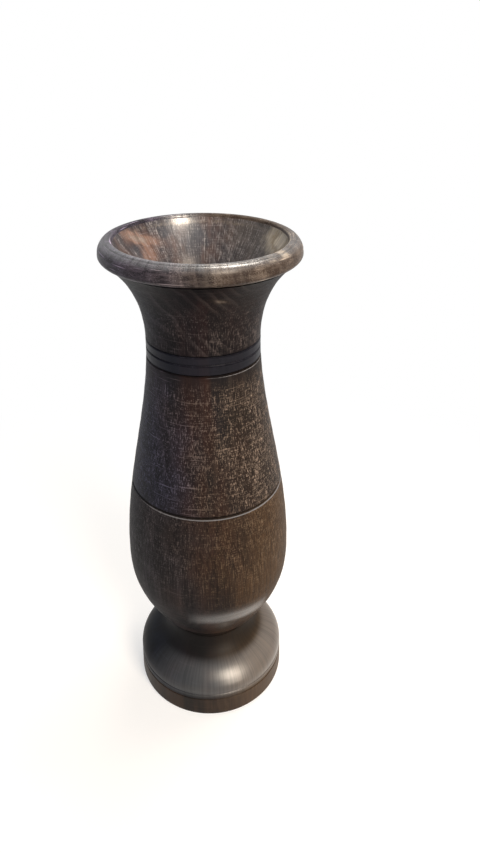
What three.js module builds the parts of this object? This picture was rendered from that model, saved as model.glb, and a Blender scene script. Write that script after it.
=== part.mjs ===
// A turned wooden vase, 305 mm tall. Its eight sections are turned and hollowed one by one, then glued
// on spigots, with each glue line at the bottom of a groove, at the waist or under the lip's bead.
// Millimetres, +Z up, origin at the middle of the base.
import * as THREE from "three";

// Heights, each measured up from the one before it
const plinthHeight = 15.9; // table to the glue line in the lower foot groove
const footWallRise = 6.7; // glue line to where the foot starts to round over
const domeRise = 22.2; // upright half-axis of the foot's dome, which is an ellipse
const domeAngle = 42; // degrees of that ellipse, up to where the waist's hollow takes over
const coveRise = 14.55; // hollow, from the end of the dome to the glue line at the waist
const undersideRise = 11.5; // waist to where the belly's underside turns out
const bellyRise = 45.5; // underside to the widest part of the belly
const shoulderRise = 56; // widest part to the glue line in the belly groove
const bodyRise = 78.9; // belly groove to the glue line under the collar
const collarRise = 10.2; // between the glue lines below and above the collar
const flareRise = 40.5; // collar to the flare's top face, on which the lip sits
const beadUnder = 2.9; // underside of the lip to its widest part
const beadCrown = 7.2; // widest part of the lip to its top

// Outside radii
const footRadius = 48.5; // where the dome starts
const baseSpread = 0.7; // how much wider the foot's wall is where it meets the table
const waistRadius = 27;
const undersideRadius = 35;
const bellyRadius = 49.7;
const neckRadius = 30.1; // at the top of the collar, the narrowest part of the neck
const flareRadius = 46.4; // at the flare's top face
const lipRadius = 49.9;
const beadWidth = 11.2; // of the rolled lip, measured level

// How far each curve keeps its direction before it bends
const baseRound = 3.2; // radius of the edge that stands on the table
const waistStraight = 7.5;
const undersideTurn = 3;
const undersideSlope = 0.55; // outwards for each millimetre up
const undersideStraight = 12;
const bellyFullBelow = 20;
const bellyFullAbove = 54.6;
const neckStraightBelow = 42.4;
const neckStraightAbove = 6;
const flareDrop = 14.6; // last control point of the flare, below and inside its top edge
const flareInset = 16.3;

// Grooves
const neckGrooveWidth = 1.4;
const neckGrooveDepth = 0.9;
const collarGrooveRise = 5.5; // the collar's own groove, above the collar's lower glue line
const bellyGrooveWidth = 2.4;
const bellyGrooveDepth = 1.1;
const footGrooveWidth = 1.2;
const footGrooveDepth = 0.7;
const footGrooveRise = 4.4; // the foot's own groove, above its glue line

// Hollow and joints
const wall = 9; // measured level, everywhere round the hollow
const glueGap = 0.3; // at each glue line and round each spigot
const neckSpigotLength = 10; // below the collar
const bellySpigotLength = 10;
const lipSpigotWall = 2.6; // upstand of the flare, inside the lip
const footSpigotRadius = 22;
const footSpigotLength = 8;
const dowelRadius = 9;
const dowelInBelly = 12;
const dowelInFoot = 25;
const dowelChamfer = 1;
const floorThickness = 22; // above the waist, at the middle
const floorRound = 24; // height over which the hollow's sides round into its floor
const recessRadius = 36; // turned under the base, so that the vase stands on its rim
const recessDepth = 1.5;

// Fineness
const sides = 40; // flats round each section
const roundSteps = 5; // steps in a quarter round
const dowelSides = 24;

const baseRadius = footRadius + baseSpread;
const footWallHeight = plinthHeight + footWallRise;
const domeEnd = THREE.MathUtils.degToRad(domeAngle);
const coveHeight = footWallHeight + domeRise * Math.sin(domeEnd);
const waistHeight = coveHeight + coveRise;
const undersideHeight = waistHeight + undersideRise;
const bellyHeight = undersideHeight + bellyRise;
const bellyGrooveHeight = bellyHeight + shoulderRise;
const collarBottom = bellyGrooveHeight + bodyRise;
const collarTop = collarBottom + collarRise;
const flareTop = collarTop + flareRise;
const lipBottom = flareTop + glueGap;
const beadHeight = lipBottom + beadUnder;
const beadCentreRadius = lipRadius - beadWidth / 2;
const lipCreaseRadius = lipRadius - beadWidth;
const lipSpigotRadius = lipCreaseRadius + lipSpigotWall;
const spigotWall = (wall - glueGap) / 2; // spigot and socket share the wall

function point(radius, height) {
  return new THREE.Vector2(radius, height);
}

function bezier(...ends) {
  return new THREE.CubicBezierCurve(...ends);
}

// The hollow between dome and belly leaves the dome along the dome's own tangent and ends upright.
function waistCove() {
  const start = point(footRadius * Math.cos(domeEnd), coveHeight);
  const slope = (domeRise * Math.cos(domeEnd)) / (footRadius * Math.sin(domeEnd));
  const rise = Math.min((start.x - waistRadius) * slope, coveRise);
  const bend = point(waistRadius, coveHeight + rise);
  return new THREE.QuadraticBezierCurve(start, bend, point(waistRadius, waistHeight));
}

// The whole outside, from the base's rounded edge up to the flare's top face, as radius and height.
const waist = point(waistRadius, waistHeight);
const underside = point(undersideRadius, undersideHeight);
const belly = point(bellyRadius, bellyHeight);
const neck = point(neckRadius, collarTop);
const outside = [
  { curve: new THREE.LineCurve(point(baseRadius, baseRound), point(footRadius, footWallHeight)), steps: 1 },
  { curve: new THREE.EllipseCurve(0, footWallHeight, footRadius, domeRise, 0, domeEnd), steps: 7 },
  { curve: waistCove(), steps: 5 },
  {
    curve: bezier(
      waist,
      point(waistRadius, waistHeight + waistStraight),
      point(undersideRadius - undersideSlope * undersideTurn, undersideHeight - undersideTurn),
      underside,
    ),
    steps: 7,
  },
  {
    curve: bezier(
      underside,
      point(undersideRadius + undersideSlope * undersideStraight, undersideHeight + undersideStraight),
      point(bellyRadius, bellyHeight - bellyFullBelow),
      belly,
    ),
    steps: 8,
  },
  {
    curve: bezier(
      belly,
      point(bellyRadius, bellyHeight + bellyFullAbove),
      point(neckRadius, collarTop - neckStraightBelow),
      neck,
    ),
    steps: 20,
  },
  {
    curve: bezier(
      neck,
      point(neckRadius, collarTop + neckStraightAbove),
      point(flareRadius - flareInset, flareTop - flareDrop),
      point(flareRadius, flareTop),
    ),
    steps: 12,
  },
];

// Every one of these curves only rises, so halving finds where it passes a height.
function shareAtHeight(curve, height) {
  let low = 0;
  let high = 1;
  for (let halving = 0; halving < 40; halving += 1) {
    const middle = (low + high) / 2;
    if (curve.getPoint(middle).y < height) low = middle;
    else high = middle;
  }
  return (low + high) / 2;
}

// Points of the outside between two heights, both included, moved in towards the axis by inset.
function surface(from, to, inset = 0, fineness = 1) {
  const points = [];
  for (const { curve, steps } of outside) {
    const start = curve.getPoint(0).y;
    const end = curve.getPoint(1).y;
    if (end <= from || start >= to) continue;
    const first = start < from ? shareAtHeight(curve, from) : 0;
    const last = end > to ? shareAtHeight(curve, to) : 1;
    const count = Math.max(1, Math.round(steps * fineness * (last - first)));
    for (let i = points.length ? 1 : 0; i <= count; i += 1) {
      const spot = curve.getPoint(THREE.MathUtils.lerp(first, last, i / count));
      points.push(point(spot.x - inset, spot.y));
    }
  }
  return points;
}

function radiusAt(height) {
  const { curve } = outside.find((stretch) => stretch.curve.getPoint(1).y >= height);
  return curve.getPoint(shareAtHeight(curve, height)).x;
}

// Part of an ellipse about (radius, height), from one angle to another in quarter turns.
function round(radius, height, halfWidth, halfHeight, from, to) {
  const quarter = Math.PI / 2;
  const backwards = to < from;
  const curve = new THREE.EllipseCurve(
    radius, height, halfWidth, halfHeight, from * quarter, to * quarter, backwards,
  );
  return curve.getPoints(Math.ceil(Math.abs(to - from) * roundSteps));
}

// The outside between two heights, with a groove that one section holds whole.
function grooved(from, to, height, width, depth) {
  return [
    ...surface(from, height - width / 2),
    point(radiusAt(height) - depth, height),
    ...surface(height + width / 2, to),
  ];
}

// Two sections meet at the bottom of a groove, each on its own side of the glue line.
const BELOW = -1;
const ABOVE = 1;

function grooveFloor(height, depth, side) {
  return point(radiusAt(height) - depth, height + (side * glueGap) / 2);
}

// Hollow and sockets, as radii
const neckBore = neckRadius - wall;
const neckSpigotRadius = neckBore + spigotWall;
const bellySpigotBore = radiusAt(bellyGrooveHeight) - wall;
const bellySpigotRadius = bellySpigotBore + spigotWall;
const collarLedge = collarBottom - neckSpigotLength - glueGap;
const bellyLedge = bellyGrooveHeight - bellySpigotLength - glueGap;
const floorHeight = waistHeight + floorThickness;
const floorEdge = floorHeight + floorRound;
const hollowFineness = 0.6; // the hollow is seen less, so it has fewer steps

function plinthOutline() {
  const spigotFloor = plinthHeight - footSpigotLength - glueGap;
  const edge = baseRadius - baseRound;
  return [
    point(0, recessDepth),
    point(recessRadius - recessDepth, recessDepth),
    point(recessRadius, 0),
    ...round(edge, baseRound, baseRound, baseRound, -1, 0),
    ...surface(baseRound, plinthHeight - footGrooveWidth / 2).slice(1),
    grooveFloor(plinthHeight, footGrooveDepth, BELOW),
    point(footSpigotRadius + glueGap, plinthHeight - glueGap / 2),
    point(footSpigotRadius + glueGap, spigotFloor),
    point(0, spigotFloor),
  ];
}

function footOutline() {
  const holeRadius = dowelRadius + glueGap;
  const holeFloor = waistHeight - dowelInFoot - glueGap;
  const top = waistHeight - glueGap / 2;
  return [
    point(0, plinthHeight - footSpigotLength),
    point(footSpigotRadius, plinthHeight - footSpigotLength),
    point(footSpigotRadius, plinthHeight + glueGap / 2),
    grooveFloor(plinthHeight, footGrooveDepth, ABOVE),
    ...grooved(
      plinthHeight + footGrooveWidth / 2,
      top,
      plinthHeight + footGrooveRise,
      footGrooveWidth,
      footGrooveDepth,
    ),
    point(holeRadius, top),
    point(holeRadius, holeFloor),
    point(0, holeFloor),
  ];
}

function dowelOutline() {
  const bottom = waistHeight - dowelInFoot;
  const top = waistHeight + dowelInBelly;
  return [
    point(0, bottom),
    point(dowelRadius - dowelChamfer, bottom),
    point(dowelRadius, bottom + dowelChamfer),
    point(dowelRadius, top - dowelChamfer),
    point(dowelRadius - dowelChamfer, top),
    point(0, top),
  ];
}

function lowerBodyOutline() {
  const holeRadius = dowelRadius + glueGap;
  const holeTop = waistHeight + dowelInBelly + glueGap;
  const bottom = waistHeight + glueGap / 2;
  const socketRadius = bellySpigotRadius + glueGap;
  const floorRadius = radiusAt(floorEdge) - wall;
  return [
    point(0, holeTop),
    point(holeRadius, holeTop),
    point(holeRadius, bottom),
    ...surface(bottom, bellyGrooveHeight - bellyGrooveWidth / 2),
    grooveFloor(bellyGrooveHeight, bellyGrooveDepth, BELOW),
    point(socketRadius, bellyGrooveHeight - glueGap / 2),
    point(socketRadius, bellyLedge),
    ...surface(floorEdge, bellyLedge, wall, hollowFineness).reverse(),
    ...round(0, floorEdge, floorRadius, floorRound, 0, -1).slice(1),
  ];
}

function upperBodyOutline() {
  const spigotEnd = bellyLedge + glueGap;
  const socketRadius = neckSpigotRadius + glueGap;
  return [
    point(bellySpigotBore, spigotEnd),
    point(bellySpigotRadius, spigotEnd),
    point(bellySpigotRadius, bellyGrooveHeight + glueGap / 2),
    grooveFloor(bellyGrooveHeight, bellyGrooveDepth, ABOVE),
    ...surface(bellyGrooveHeight + bellyGrooveWidth / 2, collarBottom - neckGrooveWidth / 2),
    grooveFloor(collarBottom, neckGrooveDepth, BELOW),
    point(socketRadius, collarBottom - glueGap / 2),
    point(socketRadius, collarLedge),
    ...surface(bellyGrooveHeight, collarLedge, wall, hollowFineness).reverse(),
    point(bellySpigotBore, spigotEnd),
  ];
}

function collarOutline() {
  const bore = neckSpigotRadius + glueGap;
  return [
    point(bore, collarBottom + glueGap / 2),
    grooveFloor(collarBottom, neckGrooveDepth, ABOVE),
    ...grooved(
      collarBottom + neckGrooveWidth / 2,
      collarTop - neckGrooveWidth / 2,
      collarBottom + collarGrooveRise,
      neckGrooveWidth,
      neckGrooveDepth,
    ),
    grooveFloor(collarTop, neckGrooveDepth, BELOW),
    point(bore, collarTop - glueGap / 2),
    point(bore, collarBottom + glueGap / 2),
  ];
}

function neckOutline() {
  const spigotEnd = collarLedge + glueGap;
  const upstand = beadHeight - glueGap;
  return [
    point(neckBore, spigotEnd),
    point(neckSpigotRadius, spigotEnd),
    point(neckSpigotRadius, collarTop + glueGap / 2),
    grooveFloor(collarTop, neckGrooveDepth, ABOVE),
    ...surface(collarTop + neckGrooveWidth / 2, flareTop),
    point(lipSpigotRadius, flareTop),
    point(lipSpigotRadius, upstand),
    point(lipCreaseRadius, upstand),
    ...surface(collarTop, flareTop, wall).reverse(),
    point(neckBore, spigotEnd),
  ];
}

function lipOutline() {
  const rebate = lipSpigotRadius + glueGap;
  return [
    point(rebate, lipBottom),
    ...round(beadCentreRadius, beadHeight, beadWidth / 2, beadUnder, -1, 0),
    ...round(beadCentreRadius, beadHeight, beadWidth / 2, beadCrown, 0, 2).slice(1),
    point(rebate, beadHeight),
    point(rebate, lipBottom),
  ];
}

// Colours of the finishes, as seen in daylight
const darkWood = { color: 0x4a3a2e, roughness: 0.45 };
const wornWood = { color: 0x5a4636, roughness: 0.4 };
const blackBand = { color: 0x1e1d1f, roughness: 0.35 };
const polishedWood = { color: 0x4b423a, roughness: 0.3 };
const bareBeech = { color: 0xc49a6c, roughness: 0.7 };

// A lathe turns an outline about its own Y axis, so one group stands every section up along Z.
const vase = new THREE.Group();
vase.name = "wooden_vase";
const turned = new THREE.Group();
turned.rotation.x = Math.PI / 2;
vase.add(turned);

function addSection(name, outline, finish, count = sides) {
  const material = new THREE.MeshStandardMaterial({ ...finish, metalness: 0 });
  const mesh = new THREE.Mesh(new THREE.LatheGeometry(outline, count), material);
  mesh.name = name;
  turned.add(mesh);
}

addSection("base_plinth", plinthOutline(), polishedWood);
addSection("foot", footOutline(), polishedWood);
addSection("waist_dowel", dowelOutline(), bareBeech, dowelSides);
addSection("lower_body", lowerBodyOutline(), darkWood);
addSection("upper_body", upperBodyOutline(), darkWood);
addSection("neck_collar", collarOutline(), blackBand);
addSection("neck_flare", neckOutline(), darkWood);
addSection("lip_ring", lipOutline(), wornWood);

export default vase;
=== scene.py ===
"""A turned wooden vase with a rolled lip, black neck bands and a domed foot.

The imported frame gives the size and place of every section. Each section that shows is turned again
here as a fine surface of revolution, from the same radii and heights, and gets its own finish:
limed and stained wood, ebonised bands or polished wood. Outlines are in millimetres, meshes in
metres, +Z is up and the vase stands on the origin. Its front faces -Y.
"""

import logging
import math
from dataclasses import dataclass
from enum import Enum
from functools import cached_property

import bpy
import numpy as np
from mathutils import Matrix, Vector


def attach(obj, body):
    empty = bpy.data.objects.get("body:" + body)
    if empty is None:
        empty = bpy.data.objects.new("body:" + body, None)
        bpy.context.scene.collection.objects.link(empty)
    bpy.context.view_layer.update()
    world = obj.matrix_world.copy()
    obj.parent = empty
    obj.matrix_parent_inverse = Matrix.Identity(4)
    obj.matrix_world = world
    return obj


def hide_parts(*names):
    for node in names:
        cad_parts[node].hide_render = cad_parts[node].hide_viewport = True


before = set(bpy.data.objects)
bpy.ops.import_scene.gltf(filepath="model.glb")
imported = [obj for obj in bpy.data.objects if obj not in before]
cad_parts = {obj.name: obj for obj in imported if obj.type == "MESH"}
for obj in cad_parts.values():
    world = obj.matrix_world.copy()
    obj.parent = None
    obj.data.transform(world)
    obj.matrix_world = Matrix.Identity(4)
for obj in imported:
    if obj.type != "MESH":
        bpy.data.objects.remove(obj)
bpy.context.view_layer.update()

log = logging.getLogger("vase")
MM = 0.001
TURNS = 288  # facets round each turned surface
SEAM = 0.06  # glue line that shows between two sections
GLUE = 0.3  # gap that is left for glue inside every joint
SAME = 1e-4  # points nearer than this are one point
SHARP = 50  # degrees from which an edge is shaded as an edge
FACE_POWER = 4  # watts of a square metre of lamp whose face is plain white
MIX_SHARE, MIX_UNDER, MIX_OVER, MIX_RESULT = 0, 6, 7, 2  # a Mix node's sockets for colours
LEVEL = (1.0, 1.0, 0.0)
WHITE = (1.0, 1.0, 1.0, 1.0)

Point = tuple[float, float]  # radius and height, in millimetres
Triple = tuple[float, float, float]
Stations = np.ndarray  # rows of radius and height along an outline, in millimetres
Piece = bpy.types.Object
Socket = bpy.types.NodeSocket
Feed = Socket | float | tuple[float, ...]
Feeds = dict[str | int, Feed]
Sockets = dict[str, Socket]


class Zone(Enum):
    """Which finish a stretch of an outline takes, as the number of its material."""

    SHOWN = 0
    HOLLOW = 1


class Grain(Enum):
    """Which way a finish's fibres run: upright through the wood, or along the turned outline."""

    UPRIGHT = "upright"
    OUTLINE = "outline"


def bezier(count: int, *ends: Point) -> Stations:
    """Samples a Bezier curve of any degree.

    Each point is the sum of the control points weighted by the Bernstein terms
    C(n, k) * (1 - t)^(n - k) * t^k, for t from 0 to 1.

    Args:
        count: how many points to take.
        ends: control points.

    Returns:
        The points, from the first control point to the last.
    """
    t = np.linspace(0.0, 1.0, count)[:, None]
    degree = len(ends) - 1
    terms = [math.comb(degree, k) * (1 - t) ** (degree - k) * t**k for k in range(degree + 1)]
    return sum(term * np.array(end) for term, end in zip(terms, ends))


def arc(centre: Point, half_axes: Point, start: float, end: float, count: int) -> Stations:
    """Samples part of an ellipse, as the centre plus (half width * cos a, half height * sin a).

    Args:
        centre: middle of the ellipse.
        half_axes: half its width and half its height.
        start: first angle in degrees, 0 being outwards and 90 up.
        end: last angle.
        count: how many points to take.

    Returns:
        The points in order.
    """
    angles = np.radians(np.linspace(start, end, count))
    rim = np.column_stack([np.cos(angles), np.sin(angles)])
    return np.array(centre) + rim * np.array(half_axes)


def put(name: str, data: bpy.types.ID) -> Piece:
    """Puts new data into the scene.

    Args:
        name: name of the new object.
        data: its mesh, lamp or lens.

    Returns:
        The object, at the origin.
    """
    placed = bpy.data.objects.new(name, data)
    bpy.context.scene.collection.objects.link(placed)
    return placed


def srgb(code: str) -> tuple[float, float, float, float]:
    """Turns a written colour into a linear one.

    Args:
        code: six hexadecimal digits.

    Returns:
        Red, green, blue and alpha.
    """
    parts = np.array([int(code[i : i + 2], 16) for i in (0, 2, 4)]) / 255
    linear = np.where(parts > 0.04045, ((parts + 0.055) / 1.055) ** 2.4, parts / 12.92)
    return (*linear.tolist(), 1.0)


@dataclass(frozen=True)
class Bell:
    """A soft spot on the surface, which fades as amount * exp(-(distance / width)^2)."""

    place: Triple
    width: float
    amount: float

    def strength(self, points: np.ndarray) -> np.ndarray:
        """Works out the spot's strength at points of shape (..., 3), in millimetres."""
        gap = ((points - np.array(self.place)) ** 2).sum(-1)
        return self.amount * np.exp(-gap / self.width**2)


@dataclass(frozen=True)
class Hoop:
    """A soft ring right round the vase, which fades from its radius and height as a bell does.

    It is strongest on the side that it faces, in degrees from +X, and loses the given share on the
    far side, with the cosine between the two. A share over 1 ends it part of the way round. A higher
    edge makes it even inside its width, with a quicker end.
    """

    radius: float
    height: float
    width: float
    amount: float
    faces: float = -70.0
    loses: float = 0.0
    edge: float = 1.0

    def strength(self, points: np.ndarray) -> np.ndarray:
        """Works out the ring's strength.

        Args:
            points: points of shape (..., 3), in millimetres.

        Returns:
            The strength at each point.
        """
        radius = np.hypot(points[..., 0], points[..., 1])
        angle = np.arctan2(points[..., 1], points[..., 0]) - math.radians(self.faces)
        gap = (radius - self.radius) ** 2 + (points[..., 2] - self.height) ** 2
        side = 1 - self.loses * (1 - np.cos(angle)) / 2
        return self.amount * side * np.exp(-((gap / self.width**2) ** self.edge))


Mark = Bell | Hoop


@dataclass(frozen=True)
class Groove:
    """A groove turned into the outside, with a rounded bottom and rounded shoulders."""

    height: float
    width: float
    depth: float
    shade_depth: float = 0.75  # where its painted shade lies, as a share of the depth
    shade_width: float = 0.34  # how far the painted shade spreads, as a share of the width

    def floor(self, radius: float, amount: float = 1.0) -> Hoop:
        """Gives the painted shade: dark colour where the groove would be in shade, on an outside of the
        given radius.
        """
        middle = radius - self.depth * self.shade_depth
        return Hoop(middle, self.height, self.width * self.shade_width, amount)

    def cut(self, heights: np.ndarray) -> np.ndarray:
        """Gives the cut, depth * (1 - u^2)^2 with u the distance in half widths, at most 1."""
        u = np.clip(np.abs(heights - self.height) / (self.width / 2), 0.0, 1.0)
        return self.depth * (1 - u**2) ** 2


@dataclass(frozen=True)
class VaseProfile:
    """The outline and the joints that sections share, with heights stacked up from the table."""

    plinth_height: float = 15.9
    foot_wall_rise: float = 6.7
    dome_rise: float = 22.2
    dome_angle: float = 42.0
    cove_rise: float = 14.55
    underside_rise: float = 11.5
    belly_rise: float = 45.5
    shoulder_rise: float = 56.0
    body_rise: float = 78.9
    collar_rise: float = 10.2
    flare_rise: float = 40.5
    foot_radius: float = 48.5
    base_spread: float = 0.7
    waist_radius: float = 27.0
    underside_radius: float = 35.0
    belly_radius: float = 49.7
    neck_radius: float = 30.1
    flare_radius: float = 46.4
    base_round: float = 3.2
    waist_straight: float = 7.5
    underside_turn: float = 3.0
    underside_slope: float = 0.55
    underside_straight: float = 12.0
    belly_full_below: float = 20.0
    belly_full_above: float = 54.6
    neck_straight_below: float = 42.4
    neck_straight_above: float = 6.0
    flare_drop: float = 14.6
    flare_inset: float = 16.3
    wall: float = 9.0
    mouth_edge: Point = (42.3, 303.6)
    mouth_edge_slope: float = 66.0
    mouth_joins: float = 284.0
    mouth_pull: float = 7.0
    foot_groove: tuple[float, float] = (1.2, 0.7)  # width and depth
    belly_groove: tuple[float, float] = (2.4, 1.1)
    neck_groove: tuple[float, float] = (1.4, 0.9)
    upper_groove_rise: float = 4.4
    middle_groove_rise: float = 5.5
    neck_spigot_length: float = 10.0
    dowel_radius: float = 9.0
    smooth: int = 240  # points on each curve of the outside

    @property
    def foot_wall_height(self) -> float:
        """Height at which the foot starts to round over."""
        return self.plinth_height + self.foot_wall_rise

    @property
    def waist_height(self) -> float:
        """Height of the glue line at the waist."""
        dome = self.dome_rise * math.sin(math.radians(self.dome_angle))
        return self.foot_wall_height + dome + self.cove_rise

    @property
    def belly_height(self) -> float:
        """Height of the widest part of the belly."""
        return self.waist_height + self.underside_rise + self.belly_rise

    @property
    def belly_groove_height(self) -> float:
        """Height of the glue line in the belly groove."""
        return self.belly_height + self.shoulder_rise

    @property
    def collar_bottom(self) -> float:
        """Height of the glue line under the collar."""
        return self.belly_groove_height + self.body_rise

    @property
    def collar_top(self) -> float:
        """Height of the glue line over the collar."""
        return self.collar_bottom + self.collar_rise

    @property
    def flare_top(self) -> float:
        """Height of the flare's top face, which carries the lip."""
        return self.collar_top + self.flare_rise

    @property
    def neck_bore(self) -> float:
        """Inner radius of the neck, which runs on down through its spigot."""
        return self.neck_radius - self.wall

    @property
    def neck_spigot(self) -> float:
        """Outer radius of the neck's spigot, half a wall out from its bore."""
        return self.neck_bore + (self.wall - GLUE) / 2

    @cached_property
    def grooves(self) -> tuple[Groove, ...]:
        """All turned grooves.

        Returns:
            Two grooves at the foot, one at the belly and three at the neck, from the base up.
        """
        places = (
            (self.plinth_height, self.foot_groove),
            (self.plinth_height + self.upper_groove_rise, self.foot_groove),
            (self.belly_groove_height, self.belly_groove),
            (self.collar_bottom, self.neck_groove),
            (self.collar_bottom + self.middle_groove_rise, self.neck_groove),
            (self.collar_top, self.neck_groove),
        )
        return tuple(Groove(height, *size) for height, size in places)

    @cached_property
    def outside(self) -> Stations:
        """The whole outside, from the base's rounded edge up to the flare's top face.

        A straight foot wall leads into part of an ellipse, a quadratic curve that leaves it along
        its own tangent and ends upright at the waist, and four cubic curves: underside, belly,
        body with shoulder and neck, and flare.

        Returns:
            The points from the base up.
        """
        dome_end = math.radians(self.dome_angle)
        dome_axes = (self.foot_radius, self.dome_rise)
        dome = arc((0, self.foot_wall_height), dome_axes, 0, self.dome_angle, self.smooth)
        start = tuple(dome[-1])
        slope = self.dome_rise * math.cos(dome_end) / (self.foot_radius * math.sin(dome_end))
        rise = min((start[0] - self.waist_radius) * slope, self.cove_rise)
        waist = (self.waist_radius, self.waist_height)
        under = (self.underside_radius, self.waist_height + self.underside_rise)
        belly = (self.belly_radius, self.belly_height)
        neck = (self.neck_radius, self.collar_top)
        brim = (self.flare_radius, self.flare_top)
        turn, run, lean = self.underside_turn, self.underside_straight, self.underside_slope
        wall = [
            (self.foot_radius + self.base_spread, self.base_round),
            (self.foot_radius, self.foot_wall_height),
        ]
        curves = (
            (start, (waist[0], start[1] + rise), waist),
            (waist, (waist[0], waist[1] + self.waist_straight),
             (under[0] - lean * turn, under[1] - turn), under),
            (under, (under[0] + lean * run, under[1] + run),
             (belly[0], belly[1] - self.belly_full_below), belly),
            (belly, (belly[0], belly[1] + self.belly_full_above),
             (neck[0], neck[1] - self.neck_straight_below), neck),
            (neck, (neck[0], neck[1] + self.neck_straight_above),
             (brim[0] - self.flare_inset, brim[1] - self.flare_drop), brim),
        )
        return np.vstack([wall, dome[1:], *(bezier(self.smooth, *ends)[1:] for ends in curves)])

    @cached_property
    def mouth(self) -> Stations:
        """The inside of the mouth, from the funnel up to the rounded edge of the lip.

        One cubic curve leaves the funnel along its own slope and reaches the lip's edge at a
        steeper one.

        Returns:
            The points from the funnel up.
        """
        start, ahead = (
            np.array([self.radius_at(height) - self.wall, height])
            for height in (self.mouth_joins, self.mouth_joins + 0.5)
        )
        way = (ahead - start) / np.linalg.norm(ahead - start)
        slope = math.radians(self.mouth_edge_slope)
        back = np.array([math.cos(slope), math.sin(slope)])
        near_edge = self.mouth_edge - self.mouth_pull * back
        return bezier(60, start, start + self.mouth_pull * way, near_edge, self.mouth_edge)

    def radius_at(self, heights: np.ndarray | float) -> np.ndarray:
        """Reads the outside's radius at some heights, between neighbouring points."""
        return np.interp(heights, self.outside[:, 1], self.outside[:, 0])

    def skin(self, low: float, high: float, pitch: float = 0.7) -> Stations:
        """Takes a stretch of the outside at an even pitch, closer together in its grooves.

        Args:
            low: height of the first point.
            high: height of the last point.
            pitch: rise from one point to the next.

        Returns:
            The points from low to high, moved in where a groove cuts.
        """
        heights = [np.linspace(low, high, max(2, round((high - low) / pitch) + 1))]
        for groove in self.grooves:
            near = groove.height + groove.width * np.linspace(-0.6, 0.6, 27)
            heights.append(near[(near > low) & (near < high)])
        heights = np.unique(np.concatenate(heights))
        cut = sum(groove.cut(heights) for groove in self.grooves)
        return np.column_stack([self.radius_at(heights) - cut, heights])

    def hollow(self, high: float, low: float, pitch: float = 2.0) -> Stations:
        """Takes a stretch of the hollow, one wall inside the outside.

        Args:
            high: height of the first point.
            low: height of the last point.
            pitch: drop from one point to the next.

        Returns:
            The points from high to low.
        """
        heights = np.linspace(low, high, max(2, round((high - low) / pitch) + 1))[::-1]
        return np.column_stack([self.radius_at(heights) - self.wall, heights])


@dataclass(frozen=True)
class HandTurning:
    """What a lathe, drying and handling do to a true outline. It only ever takes wood away."""

    ridges: tuple[tuple[float, float], ...] = ((2.3, 0.01), (5.9, 0.02), (14.0, 0.035))
    wander: float = 0.6  # how far each ridge strays round the axis, in radians of its wave
    ridge_phase: float = 1.7
    oval: float = 0.12
    oval_phase: float = 0.7
    dents: tuple[Bell, ...] = ()

    def depth(self, points: np.ndarray) -> np.ndarray:
        """Works out how far the surface lies under its outline.

        Each ridge is amount * (1 - cos(2 pi height / length + a slow wander round the axis)), the
        oval is amount * (1 - cos(2 angle - its phase)) / 2, and each dent is a bell.

        Args:
            points: the true surface, of shape (..., 3), in millimetres.

        Returns:
            The depth at each point, in millimetres, never below zero.
        """
        angle = np.arctan2(points[..., 1], points[..., 0])
        depth = self.oval * (1 - np.cos(2 * angle - self.oval_phase)) / 2
        for order, (length, amount) in enumerate(self.ridges):
            wander = self.wander * np.sin((order + 1) * angle + self.ridge_phase * order)
            depth = depth + amount * (1 - np.cos(2 * np.pi * points[..., 2] / length + wander))
        return depth + sum(dent.strength(points) for dent in self.dents)


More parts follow.
